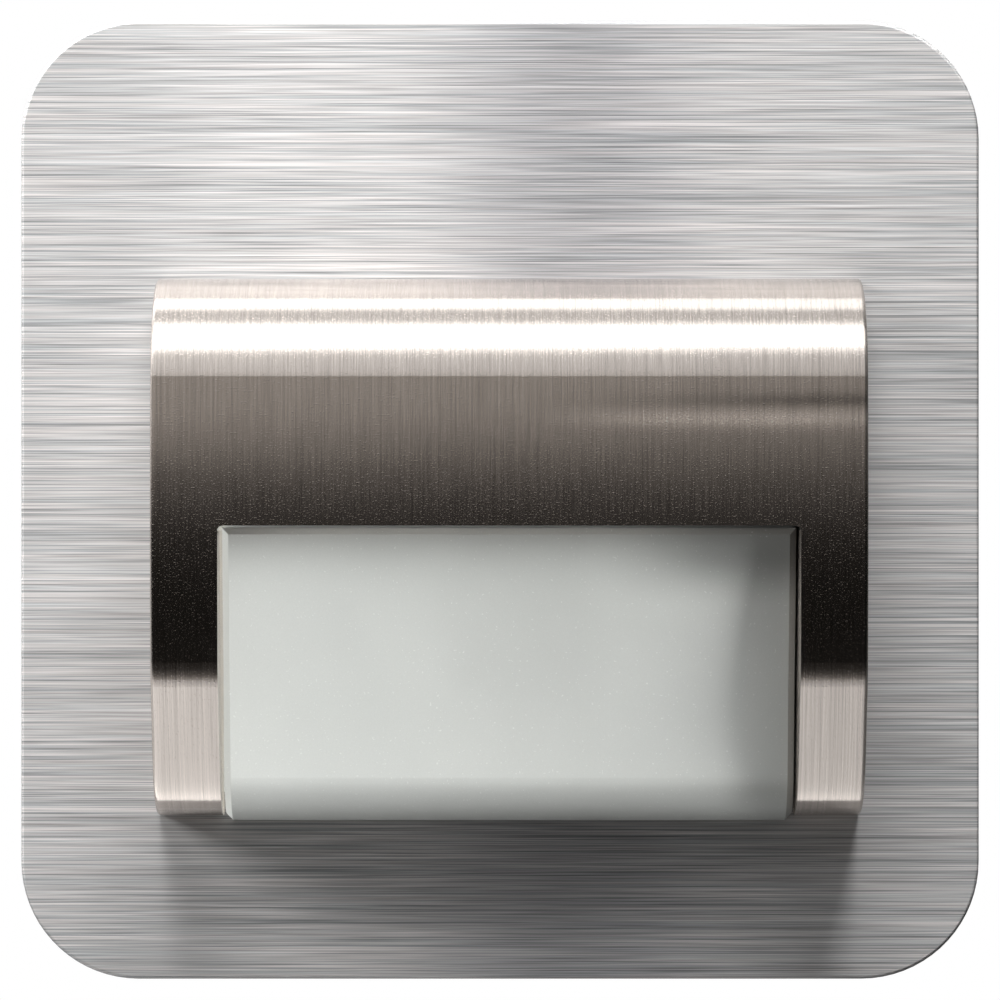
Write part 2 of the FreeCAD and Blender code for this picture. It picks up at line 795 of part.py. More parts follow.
def surge_disc():
    y = board_y - surge_r - surge_lift
    body = rod_z(surge_r, 0, y, surge_z - surge_thickness / 2, surge_z + surge_thickness / 2)
    body = body.makeChamfer(surge_rim, [e for e in body.Edges if len(e.Vertexes) == 1])
    legs = [rod_y(lead_r, side * surge_leg_x, surge_z, y, board_y) for side in (-1, 1)]
    return fuse(body, *legs)


def earth_strap_z():
    """The strap runs back along the housing's wall, clear of the ledge."""
    return math.sqrt(ledge_r ** 2 - (strap_width / 2) ** 2) - stack_gap - strap_thickness


def earth_strap():
    """A brass strip: an eye on the earth stud, and a leg back to the driver board."""
    z = earth_strap_z()
    foot = box(
        -strap_width / 2, strap_width / 2, plate_back_y, plate_back_y + strap_thickness,
        earth_stud_z, z + strap_thickness,
    )
    eye = rod_y(strap_eye_r, 0, earth_stud_z, plate_back_y, plate_back_y + strap_thickness)
    leg = box(-strap_width / 2, strap_width / 2, plate_back_y, board_back_y, z, z + strap_thickness)
    strap = fuse(foot, eye, leg)
    return strap.cut(rod_y(stud_r + thread_gap, 0, earth_stud_z, plate_back_y - over, plate_back_y + over))


# Housing

def spring_side_rooms():
    """The flat-bottomed recesses that the retaining arms fold into."""
    y0 = plate_back_y + collar_length
    rooms = []
    for side in (-1, 1):
        x0, x1 = sorted((side * flat_x, side * box_r))
        rooms.append(box(x0, x1, y0, rear_y + over, -flat_half_width, flat_half_width))
    return rooms


def pin_lugs():
    lugs = []
    for z0 in (lug_z, -lug_z - lug_thickness):
        rounded = rod_z(lug_r, pin_x, pin_y, z0, z0 + lug_thickness)
        root = box(flat_x - bite, pin_x, pin_y - lug_r, pin_y + lug_r, z0, z0 + lug_thickness)
        lugs.append(fuse(rounded, root))
    return lugs + [mirrored(lug) for lug in lugs]


def housing_inside():
    """The room inside, wide in front of the ledge and narrower behind it, with flats at its sides."""
    wide = rod_y(inner_r, 0, 0, plate_back_y - over, ledge_y)
    narrow = rod_y(ledge_r, 0, 0, ledge_y, rear_wall_y)
    between = box(-inner_flat_x, inner_flat_x, plate_back_y - over, rear_wall_y, -housing_r, housing_r)
    return wide.fuse(narrow).common(between)


def rear_wall_pads():
    """Pads inside the rear wall: under the driver board, and for the screws from both sides."""
    places = [(0, driver_screw_z), (0, -driver_screw_z), (block_screw_x, 0), (-block_screw_x, 0)]
    return [rod_y(small_screw_head_r + pad_rim, x, z, board_back_y, rear_wall_y + bite) for x, z in places]


def clamp_seat():
    """Two posts on the rear wall that the cable lies between."""
    block = box(
        -clamp_half, clamp_half, rear_wall_y + bite, wire_y,
        clamp_z - clamp_length / 2, clamp_z + clamp_length / 2,
    )
    return block.cut(rod_z(cable_r, 0, wire_y, clamp_z - clamp_length, clamp_z + clamp_length))


def rear_housing():
    collar = rod_y(collar_r, 0, 0, plate_back_y, plate_back_y + collar_length)
    edges = [
        e for e in collar.Edges
        if len(e.Vertexes) == 1 and e.Vertexes[0].Y > plate_back_y + collar_length - tiny
    ]
    collar = collar.makeChamfer(collar_rim, edges)
    cup = rod_y(housing_r, 0, 0, plate_back_y, rear_y)
    back_edge = [e for e in cup.Edges if len(e.Vertexes) == 1 and e.Vertexes[0].Y > rear_y - tiny]
    cup = cup.makeChamfer(housing_rim, back_edge)
    shell = fuse(collar, cup).cut([housing_inside()] + spring_side_rooms())
    pillars = [rod_y(pillar_r, x, z, plate_back_y, rear_wall_y + bite) for x, z in studs]
    pillars = [p.common(rod_y(housing_r, 0, 0, plate_back_y, rear_y)) for p in pillars]
    shell = shell.fuse(pillars + pin_lugs() + rear_wall_pads() + [clamp_seat()])
    cuts = []
    for x, z in studs:
        cuts.append(rod_y(stud_r + hole_gap, x, z, plate_back_y - over, pillar_floor_y + over))
        cuts.append(rod_y(socket_r, x, z, pillar_floor_y, rear_y + over))
    seal = rod_y(seal_outer_r(), 0, 0, plate_back_y - over, plate_back_y + housing_seal_depth)
    cuts.append(seal.cut(rod_y(seal_outer_r() - housing_seal_width, 0, 0, plate_back_y - 2 * over, rear_y)))
    cuts += [rod_y(pin_side_r + hole_gap, x, 0, rear_wall_y - over, rear_y + over) for x in poles]
    pad_screw_r = small_screw_r + thread_gap
    block_bottom, clamp_bottom = board_back_y + screw_bottom, rear_wall_y + screw_bottom
    for z in (-driver_screw_z, driver_screw_z):
        cuts.append(rod_y(pad_screw_r, 0, z, board_back_y - over, rear_wall_y + housing_wall / 2))
    for side in (-1, 1):
        cuts.append(rod_y(pad_screw_r, side * block_screw_x, 0, block_bottom, rear_y + over))
        cuts.append(rod_y(pad_screw_r, side * clamp_screw_x, clamp_z, clamp_bottom, wire_y + over))
        cuts.append(rod_z(pin_r, side * pin_x, pin_y, -flat_half_width, flat_half_width))
    return shell.cut(cuts).removeSplitter()


def seal_outer_r():
    """The housing's seal runs in the middle of its front rim."""
    return (inner_r + collar_r + housing_seal_width) / 2


def housing_seal():
    outer = seal_outer_r()
    ring = rod_y(outer, 0, 0, plate_back_y, plate_back_y + housing_seal_depth)
    return ring.cut(rod_y(outer - housing_seal_width, 0, 0, plate_back_y - over, plate_back_y + over))


# Terminals and cable clamp

def terminal_pins():
    return group(rod_y(pin_side_r, x, 0, board_y - pin_past_board, rear_y + block_wall) for x in poles)


def terminal_block():
    """A moulded block with a chamber, a wire hole and a screw hole for each pole."""
    half_h = block_height / 2
    step = block_bevel
    outline = [
        (rear_y, -half_h), (rear_y, half_h), (rear_y + block_depth - step, half_h),
        (rear_y + block_depth, half_h - step), (rear_y + block_depth, step - half_h),
        (rear_y + block_depth - step, -half_h),
    ]
    body = polygon_prism([Vector(-block_half, y, z) for y, z in outline], Vector(2 * block_half, 0, 0))
    ears = slab(
        2 * (block_half + block_ear), block_ear_height, block_ear_r,
        rear_y, rear_y + block_ear_thickness,
    )
    cuts = []
    half = cage_width / 2 + cage_gap
    cage_top = rear_y + block_wall + cage_depth
    for x in poles:
        cuts.append(box(x - half, x + half, rear_y - over, cage_top + cage_gap, -half, half))
        cuts.append(rod_z(wire_r, x, wire_y, -half_h - over, 0))
        cuts.append(rod_y(terminal_head_r + terminal_head_gap, x, 0, cage_top, rear_y + block_depth + over))
    for side in (-1, 1):
        through = (rear_y - over, rear_y + block_depth)
        cuts.append(rod_y(small_screw_r + hole_gap, side * block_screw_x, 0, *through))
    return fuse(body, ears).cut(cuts)


def terminal_clamps():
    """A brass cage in each chamber, with a hole for the wire and one for the screw."""
    half = cage_width / 2
    y0 = rear_y + block_wall
    cages = []
    for x in poles:
        cage = box(x - half, x + half, y0, y0 + cage_depth, -half, half)
        wire_hole = rod_z(wire_r, x, wire_y, -half - over, half + over)
        screw_hole = rod_y(terminal_screw_r + thread_gap, x, 0, wire_y, y0 + cage_depth + over)
        cages.append(cage.cut([wire_hole, screw_hole]))
    return group(cages)


def terminal_screws():
    """Slotted screws, backed off so that the wire holes are open."""
    tip_y = wire_y + wire_r
    head_y = rear_y + block_wall + cage_depth + terminal_backed_off
    slot_y = head_y + terminal_head / 2
    screws = []
    for x in poles:
        screw = fuse(
            rod_y(terminal_screw_r, x, 0, tip_y, head_y),
            rod_y(terminal_head_r, x, 0, head_y, head_y + terminal_head),
        )
        slot = box(
            x - terminal_head_r, x + terminal_head_r, slot_y, head_y + terminal_head + over,
            -terminal_slot / 2, terminal_slot / 2,
        )
        screws.append(screw.cut(slot))
    return group(screws)


def block_screws():
    head_y, tip_y = rear_y + block_ear_thickness, board_back_y + screw_bottom + hole_gap
    return group(
        pan_screw(
            small_screw_r, small_screw_head_r, small_screw_head,
            side * block_screw_x, 0, head_y, tip_y,
        )
        for side in (-1, 1)
    )


def cable_clamp():
    """An arched bridge over the cable, resting on the two posts."""
    z0, z1 = clamp_z - clamp_length / 2, clamp_z + clamp_length / 2
    feet = box(-clamp_half, clamp_half, wire_y, wire_y + clamp_top, z0, z1)
    arch = rod_z(cable_r + clamp_top, 0, wire_y, z0, z1)
    arch = arch.common(box(-clamp_half, clamp_half, wire_y, wire_y + 2 * cable_r, z0, z1))
    holes = [rod_z(cable_r, 0, wire_y, z0 - over, z1 + over)]
    through = (wire_y - over, wire_y + clamp_top + over)
    holes += [
        rod_y(small_screw_r + hole_gap, side * clamp_screw_x, clamp_z, *through)
        for side in (-1, 1)
    ]
    return fuse(feet, arch).cut(holes)


def clamp_screws():
    head_y, tip_y = wire_y + clamp_top, rear_wall_y + screw_bottom + hole_gap
    return group(
        pan_screw(
            small_screw_r, small_screw_head_r, small_screw_head,
            side * clamp_screw_x, clamp_z, head_y, tip_y,
        )
        for side in (-1, 1)
    )


# Retaining arms. The right one is drawn, and the left one is its mirror image.

def arm_point(along, outwards):
    """A point of the arm's section: a distance along it from the pin, and one square to it."""
    return Vector(
        pin_x + along * math.sin(arm_angle) + outwards * math.cos(arm_angle),
        pin_y - along * math.cos(arm_angle) + outwards * math.sin(arm_angle),
        0,
    )


def arm_outline():
    """The strip's section from its rolled eye to its inturned tip."""
    inner = pin_r + pin_clear
    outer = eye_r
    bend = math.radians(arm_tip_bend_deg)
    mitre = arm_thickness * math.tan(bend / 2)
    tip_in = (-math.sin(bend) * arm_tip, math.cos(bend) * arm_tip)
    across = (-math.cos(bend) * arm_thickness, -math.sin(bend) * arm_thickness)
    return [
        arm_point(0, inner),
        arm_point(0, outer),
        arm_point(arm_length, outer),
        arm_point(arm_length + tip_in[1], outer + tip_in[0]),
        arm_point(arm_length + tip_in[1] + across[1], outer + tip_in[0] + across[0]),
        arm_point(arm_length - mitre, inner),
    ]


def retaining_arm():
    half = arm_width / 2
    lift = Vector(0, 0, -half)
    strip = polygon_prism([p + lift for p in arm_outline()], Vector(0, 0, arm_width))
    eye = rod_z(eye_r, pin_x, pin_y, -half, half)
    arm = fuse(strip, eye)
    room = rod_z(coil_r + coil_wire_r + arm_room_gap, pin_x, pin_y, -coil_half_width(), coil_half_width())
    slot = polygon_prism(
        [
            arm_point(along, across) + Vector(0, 0, -coil_half_width())
            for along, across in ((0, -eye_r), (0, eye_r + over), (coil_slot, eye_r + over), (coil_slot, 0))
        ],
        Vector(0, 0, 2 * coil_half_width()),
    )
    trims = [tip_trim(side * half, side * arm_tip_width / 2) for side in (-1, 1)]
    pin_hole = rod_z(pin_r + pin_clear, pin_x, pin_y, -half - over, half + over)
    return arm.cut([pin_hole, room, slot] + trims).removeSplitter()


def tip_trim(edge, tip):
    """The wedge cut from one side of the arm, so that it narrows towards its tip."""
    beyond = 2 * edge
    past = arm_length + arm_tip + 1
    corners = [(coil_slot, edge), (past, tip), (past, beyond), (coil_slot, beyond)]
    reach = eye_r + 1
    drop = arm_length
    points = [arm_point(along, -drop) + Vector(0, 0, z) for along, z in corners]
    return polygon_prism(points, arm_point(0, reach) - arm_point(0, -drop))


def coil_half_width():
    """Half of the room that the coil takes along the pin."""
    return (coil_turns + 0.5) * coil_pitch / 2 + coil_wire_r + coil_room_gap


def arm_pin():
    end = lug_z + lug_thickness
    return fuse(rod_z(pin_r, pin_x, pin_y, -end, end), rod_z(pin_head_r, pin_x, pin_y, end, end + pin_head))


def biarc(p0, t0, p1, t1):
    """Two arcs that run smoothly from p0 along t0 to p1 along t1."""
    gap = p1 - p0
    total = t0 + t1
    a = 2 * (1 - t0.dot(t1))
    b = 2 * gap.dot(total)
    reach = (-b + math.sqrt(b * b + 4 * a * gap.dot(gap))) / (2 * a)
    corner0, corner1 = p0 + t0 * reach, p1 - t1 * reach
    joint = (corner0 + corner1) * 0.5
    return [bent_edge(p0, corner0, joint), bent_edge(joint, corner1, p1)]


def bent_edge(start, corner, end):
    """The arc from start to end whose tangents meet at corner."""
    chord_middle = (start + end) * 0.5
    to_corner = corner - chord_middle
    half = (end - start).Length / 2
    side = (corner - start).Length
    rise = half * (side - half) / to_corner.Length
    return arc(start, chord_middle + to_corner.normalize() * rise, end)


def torsion_spring():
    """One wire: a leg on the housing's side, the turns round the pin, and a leg under the arm."""
    start_turn = math.pi
    end_turn = arm_angle - math.radians(coil_toe_in_deg) - 2 * math.pi * coil_turns
    quarters = round((start_turn - end_turn) / (math.pi / 2))
    height = coil_pitch * (start_turn - end_turn) / (2 * math.pi)

    def place(share):
        turn = start_turn + (end_turn - start_turn) * share
        return Vector(
            pin_x + coil_r * math.cos(turn), pin_y + coil_r * math.sin(turn), height * (share - 0.5)
        )

    def heading(share):
        turn = start_turn + (end_turn - start_turn) * share
        climb = 0 if share in (0, 1) else coil_pitch / (2 * math.pi * coil_r)
        return Vector(math.sin(turn), -math.cos(turn), climb).normalize()

    shares = [i / quarters for i in range(quarters + 1)]
    start, end = place(0), place(1)
    edges = [line(start - heading(0) * coil_leg, start)]
    for a, b in zip(shares, shares[1:]):
        edges += biarc(place(a), heading(a), place(b), heading(b))
    edges.append(line(end, end + heading(1) * coil_arm_leg))
    path = Part.Wire(edges)
    ring = Part.Circle(start - heading(0) * coil_leg, heading(0), coil_wire_r).toShape()
    print("torsion spring: gap between turns", round(coil_pitch - 2 * coil_wire_r, 3))
    return path.makePipeShell([Part.Wire([ring])], True, False)


def main():
    arm, pin, spring = retaining_arm(), arm_pin(), torsion_spring()
    nodes = {
        "face_plate": face_plate(),
        "hood": hood(),
        "lens": lens(),
        "lens_seal": lens_seal(),
        "hood_screws": group(hood_screw(x, z) for x, z in hood_screws_at),
        "wall_gasket": wall_gasket(),
        "plate_studs": plate_studs(),
        "stud_nuts": stud_nuts(),
        "rear_housing": rear_housing(),
        "housing_seal": housing_seal(),
        "light_box": light_box(),
        "led_board": led_board(),
        "led_chips": led_chips(),
        "led_screws": led_screws(),
        "heat_spreader": heat_spreader(),
        "led_pins": led_pins(),
        "driver_board": driver_board(),
        "driver_screws": driver_screws(),
        "filter_capacitor": filter_capacitor(),
        "dropper_capacitor": dropper_capacitor(),
        "choke": choke(),
        "bridge_rectifier": bridge_rectifier(),
        "control_chip": control_chip(),
        "fuse_resistor": fuse_resistor(),
        "surge_disc": surge_disc(),
        "earth_strap": earth_strap(),
        "terminal_pins": terminal_pins(),
        "terminal_block": terminal_block(),
        "terminal_clamps": terminal_clamps(),
        "terminal_screws": terminal_screws(),
        "block_screws": block_screws(),
        "cable_clamp": cable_clamp(),
        "clamp_screws": clamp_screws(),
        "retaining_arm_right": arm,
        "retaining_arm_left": mirrored(arm),
        "arm_pin_right": pin,
        "arm_pin_left": mirrored(pin),
        "torsion_spring_right": spring,
        "torsion_spring_left": mirrored(spring),
    }
    os.makedirs("parts", exist_ok=True)
    for name, shape in nodes.items():
        shape.exportStep(f"parts/{name}.step")
        print(name, "solids", len(shape.Solids), "valid", shape.isValid(), "volume", round(shape.Volume, 2))


main()
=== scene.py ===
"""Blender scene for a recessed step light: a brushed steel plate with a cast hood over frosted glass.

Everything is in metres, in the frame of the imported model: +Z is up, and the light faces -Y.
"""
import math

import bmesh
import bpy
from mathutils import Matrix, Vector


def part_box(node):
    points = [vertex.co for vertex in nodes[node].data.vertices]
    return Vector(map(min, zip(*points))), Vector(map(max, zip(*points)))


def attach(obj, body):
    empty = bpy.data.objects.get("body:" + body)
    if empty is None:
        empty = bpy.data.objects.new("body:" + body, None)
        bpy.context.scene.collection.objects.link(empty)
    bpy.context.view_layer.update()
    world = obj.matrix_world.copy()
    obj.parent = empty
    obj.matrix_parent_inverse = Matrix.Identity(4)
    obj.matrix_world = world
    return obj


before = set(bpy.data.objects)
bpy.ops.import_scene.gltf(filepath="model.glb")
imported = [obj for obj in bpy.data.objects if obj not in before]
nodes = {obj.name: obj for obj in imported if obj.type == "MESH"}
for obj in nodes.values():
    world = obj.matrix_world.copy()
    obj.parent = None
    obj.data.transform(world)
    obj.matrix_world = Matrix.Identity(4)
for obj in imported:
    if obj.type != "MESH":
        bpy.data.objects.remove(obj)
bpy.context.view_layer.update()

# Camera and floor
CAMERA_Y = -0.393
SENSOR_WIDTH = 36.0  # mm
FRAME_WIDTH = 0.07829  # what the picture spans at the plate's front
PLATE_FRONT_Y = -0.003
FLOOR_Z = -0.16
FLOOR_R = 0.6
FLOOR_SIDES = 96
FLOOR_FADE = (0.16, 0.96 * FLOOR_R)  # the radii between which it fades into the white

# Brushed metal. A line is the size of its noise in metres along X, Y and Z, and the noise's detail.
PLATE_LINES = [((0.06, 0.06, 1.8e-4), 2), ((0.025, 0.025, 9e-5), 2), ((0.008, 0.008, 6e-5), 1)]
HOOD_LINES = [((2.4e-4, 0.008, 0.02), 2), ((1.1e-4, 0.004, 0.008), 2), ((6e-5, 0.0015, 0.003), 1)]
LINE_SHARES = (0.3, 0.35, 0.35)
MIXED_RANGE = (0.36, 0.64)  # nearly all values of the mixed lines
FINE_RANGE = (0.35, 0.65)  # and of one noise

# The plate's painted reflection, soft light and dark bands across it: how far it is across the plate, level
PLATE_HALF = 0.0375
PAINTED_REFLECTION_BANDS = [
    (0.0, 0.82), (0.12, 0.86), (0.25, 0.98), (0.40, 0.95), (0.5, 0.70), (0.58, 0.60), (0.66, 0.68),
    (0.74, 0.80), (1.0, 0.80),
]
REFLECTION_DARK_BELOW = 0.75

# The hood's front has a shallow hollow, and a painted highlight along its lower lip.
HOLLOW_Z, HOLLOW_WIDTH, HOLLOW_DEPTH = 0.0070, 0.0009, 7.0  # the depth is in steps of the bump
HIGHLIGHT_Z, HIGHLIGHT_WIDTH, HIGHLIGHT_GAIN = 0.0061, 0.0006, 0.5

# Where the lamp behind the glass shows
SPOT = (0.0008, 0.0, -0.0118)

# A screw's cross recess: the arms' length and half their width as shares of the head's radius
RECESS_REACH, RECESS_HALF, RECESS_TAPER = 0.62, 0.13, 0.8
RECESS_DEPTH, RECESS_PROUD = 0.0002, 0.00001
SAME_PLACE = 1e-6


# Node helpers

def add(tree, kind, inputs=None, **settings):
    """Adds a shader node; each input is a value or the socket that feeds it."""
    node = tree.nodes.new("ShaderNode" + kind)
    for key, value in settings.items():
        setattr(node, key, value)
    for key, value in (inputs or {}).items():
        if isinstance(value, bpy.types.NodeSocket):
            tree.links.new(value, node.inputs[key])
        else:
            node.inputs[key].default_value = value
    return node


def calc(tree, operation, a, b=0.0):
    return add(tree, "Math", {0: a, 1: b}, operation=operation).outputs[0]


def times(tree, first, *others):
    for other in others:
        first = calc(tree, "MULTIPLY", first, other)
    return first


def split(tree, vector):
    """The X, Y and Z of a vector."""
    return add(tree, "SeparateXYZ", {0: vector}).outputs


def shaded(tree, colour, shade):
    return add(tree, "VectorMath", {0: colour, "Scale": shade}, operation="SCALE").outputs[0]


def length(tree, vector):
    return add(tree, "VectorMath", {0: vector}, operation="LENGTH").outputs["Value"]


def surface_normal(tree):
    return add(tree, "NewGeometry").outputs["Normal"]


def rescale(tree, value, low, high, to_low=0.0, to_high=1.0, smooth=False):
    """Maps low to to_low and high to to_high, and holds them beyond."""
    return add(
        tree, "MapRange",
        {"Value": value, "From Min": low, "From Max": high, "To Min": to_low, "To Max": to_high},
        interpolation_type="SMOOTHSTEP" if smooth else "LINEAR",
    ).outputs["Result"]


def bell(tree, value, middle, width):
    """1 at the middle, and soft slopes to 0 on both sides."""
    off = calc(tree, "DIVIDE", calc(tree, "SUBTRACT", value, middle), width)
    return calc(tree, "EXPONENT", times(tree, off, off, -1.0))


def blend(tree, factor, a, b, mode="MIX"):
    """A mix of two colours."""
    node = add(tree, "Mix", {"Factor": factor}, data_type="RGBA", blend_type=mode)
    for key, value in (("A", a), ("B", b)):
        socket = next(s for s in node.inputs if s.name == key and s.type == "RGBA")
        if isinstance(value, bpy.types.NodeSocket):
            tree.links.new(value, socket)
        else:
            socket.default_value = (*value, 1.0)
    return next(s for s in node.outputs if s.type == "RGBA")


def colour_ramp(tree, factor, stops, interpolation="LINEAR"):
    """A ramp whose stops are a place from 0 to 1 and a colour."""
    node = add(tree, "ValToRGB", {"Fac": factor})
    node.color_ramp.interpolation = interpolation
    elements = node.color_ramp.elements
    while len(elements) < len(stops):
        elements.new(0.5)
    for element, (place, colour) in zip(elements, stops):
        element.position = place
        element.color = (*colour, 1.0)
    return node.outputs["Color"]


def noise(tree, place, size, detail, rough=0.5):
    """Noise on object coordinates; size is in metres, one for all axes or one each for X, Y and Z."""
    sizes = size if isinstance(size, tuple) else (size,) * 3
    scaled = add(tree, "VectorMath", {0: place, 1: [1.0 / s for s in sizes]}, operation="MULTIPLY")
    return add(
        tree, "TexNoise", {"Vector": scaled.outputs[0], "Scale": 1.0, "Detail": detail, "Roughness": rough},
        noise_dimensions="3D",
    ).outputs["Fac"]


def bump(tree, shader, height, depth):
    """Bump from a height of 0 to 1 that stands for depth metres."""
    node = add(tree, "Bump", {"Height": height, "Distance": depth, "Strength": 1.0})
    tree.links.new(node.outputs["Normal"], shader.inputs["Normal"])


def vary_roughness(tree, shader, value, rough):
    """Roughness that goes 15% to both sides with a noise."""
    varied = rescale(tree, value, *FINE_RANGE, rough * 0.85, rough * 1.15)
    tree.links.new(varied, shader.inputs["Roughness"])


def new_material(name):
    material = bpy.data.materials.new(name)
    material.use_nodes = True
    tree = material.node_tree
    shader = tree.nodes["Principled BSDF"]
    place = add(tree, "TexCoord").outputs["Object"]
    return material, tree, shader, place


# Materials

def brush_lines(tree, place, lines):
    """The middle and the fine lines of a brushed finish, and the mix of all three."""
    broad, middle, fine = [noise(tree, place, size, detail, 0.6) for size, detail in lines]
    parts = [times(tree, line, share) for line, share in zip((broad, middle, fine), LINE_SHARES)]
    mixed = calc(tree, "ADD", calc(tree, "ADD", parts[0], parts[1]), parts[2])
    return middle, fine, mixed


def set_brushed(tree, shader, base, across, metal):
    """Brushed metal, whose highlights spread along across."""
    tree.links.new(base, shader.inputs["Base Color"])
    shader.inputs["Metallic"].default_value = metal
    shader.inputs["Specular IOR Level"].default_value = 0.0
    shader.inputs["Anisotropic"].default_value = 1.0
    tangent = add(tree, "CombineXYZ", dict(zip("XYZ", across))).outputs[0]
    tree.links.new(tangent, shader.inputs["Tangent"])


def reflection_stop(where, level):
    """A band of the painted reflection is a little cool, and bluer where it is dark."""
    blue = 1.02 if level < REFLECTION_DARK_BELOW else 1.0
    return where, (0.99 * level, level, blue * level)


def plate_steel():
    """Stainless steel, brushed along X."""
    material, tree, shader, place = new_material("plate_steel")
    middle, fine, mixed = brush_lines(tree, place, PLATE_LINES)
    shade = rescale(tree, mixed, *MIXED_RANGE, 0.48, 1.52)
    cool, warm = (0.97, 1.006, 1.03), (1.03, 0.991, 0.985)
    hue = blend(tree, rescale(tree, middle, 0.42, 0.58), cool, warm)
    base = blend(tree, 1.0, shaded(tree, (0.752, 0.738, 0.730), shade), hue, "MULTIPLY")
    facing = split(tree, surface_normal(tree))["Y"]
    painted_edge_shade = rescale(tree, facing, -0.97, -0.7, 1.0, 0.5)  # painted shade, darker where the face turns away from the front
    # painted reflection: soft light and dark bands across the plate, multiplied into its colour
    across_plate = rescale(tree, split(tree, place)["X"], -PLATE_HALF, PLATE_HALF)
    painted_reflection = colour_ramp(tree, across_plate, [reflection_stop(*band) for band in PAINTED_REFLECTION_BANDS], "B_SPLINE")
    base = blend(tree, 1.0, shaded(tree, base, painted_edge_shade), painted_reflection, "MULTIPLY")
    # Only partly metal, so that it takes the raking lamp and the hood's shadow
    set_brushed(tree, shader, base, across=(0.0, 0.0, 1.0), metal=0.34)
    vary_roughness(tree, shader, fine, 0.18)
    bump(tree, shader, mixed, 9e-6)
    return material


def upright(tree, place):
    """Coordinates for a brush that ran up and down: X is across it, on the front and on both sides."""
    x, y, z = split(tree, place)
    facing = calc(tree, "ABSOLUTE", split(tree, surface_normal(tree))["X"])
    sideways = rescale(tree, facing, 0.5, 0.8)
    across = calc(tree, "ADD", x, times(tree, y, sideways))
    along = calc(tree, "ADD", z, times(tree, y, calc(tree, "SUBTRACT", 1.0, sideways)))
    return add(tree, "CombineXYZ", {"X": across, "Z": along}).outputs[0]


def hollow(tree, place):
    """A shallow hollow left by the polishing wheel, across the hood's front and deeper to the right."""
    x, _, z = split(tree, place)
    return times(
        tree, bell(tree, z, HOLLOW_Z, HOLLOW_WIDTH), rescale(tree, x, 0.002, 0.024, 0.0, HOLLOW_DEPTH)
    )


def painted_lip_highlight(tree, place):
    """A painted highlight: how much brighter the metal's colour is made along the lower lip of that hollow,
    broken up by the grain.
    """
    x, _, z = split(tree, place)
    starts = rescale(tree, x, 0.003, 0.014, smooth=True)
    fades = rescale(tree, x, 0.022, 0.027, 1.0, 0.3, smooth=True)
    lip = times(tree, bell(tree, z, HIGHLIGHT_Z, HIGHLIGHT_WIDTH), times(tree, starts, fades))
    broken = rescale(tree, noise(tree, place, 1.6e-4, 1), 0.45, 0.62, 0.55, 1.0)
    return calc(tree, "ADD", 1.0, times(tree, lip, times(tree, broken, HIGHLIGHT_GAIN)))


def hood_nickel():
    """Cast zinc under satin nickel, brushed up and down, with the casting's grain."""
    material, tree, shader, place = new_material("hood_nickel")
    combed = upright(tree, place)
    _, fine, mixed = brush_lines(tree, combed, HOOD_LINES)
    # brush lines, times the painted highlight along the hollow's lip
    shade = times(tree, rescale(tree, mixed, *MIXED_RANGE, 0.8, 1.2), painted_lip_highlight(tree, place))
    base = shaded(tree, (0.67, 0.61, 0.565), shade)
    set_brushed(tree, shader, base, across=(1.0, 0.0, 0.0), metal=1.0)
    vary_roughness(tree, shader, fine, 0.23)
    grit = rescale(tree, noise(tree, combed, 1.3e-4, 1), 0.60, 0.74, 0.0, 0.75)
    swell = times(tree, noise(tree, combed, (7e-3, 7e-3, 4e-3), 1), 1.2)
    height = calc(tree, "ADD", mixed, calc(tree, "ADD", grit, swell))
    bump(tree, shader, calc(tree, "SUBTRACT", height, hollow(tree, place)), 5e-6)
    return material


def plain(name, colour, rough, grain, vary=0.06, depth=2e-6, metal=0.0):
    """A moulded, cast or painted finish: mottled colour and roughness, and a fine grain."""
    material, tree, shader, place = new_material(name)
    patches = noise(tree, place, grain * 30, 3)
    fine = noise(tree, place, grain, 3, 0.6)
    shade = rescale(tree, calc(tree, "ADD", patches, fine), 0.7, 1.3, 1.0 - vary, 1.0 + vary)
    tree.links.new(shaded(tree, colour, shade), shader.inputs["Base Color"])
    vary_roughness(tree, shader, patches, rough)
    shader.inputs["Metallic"].default_value = metal
    bump(tree, shader, fine, depth)
    return material


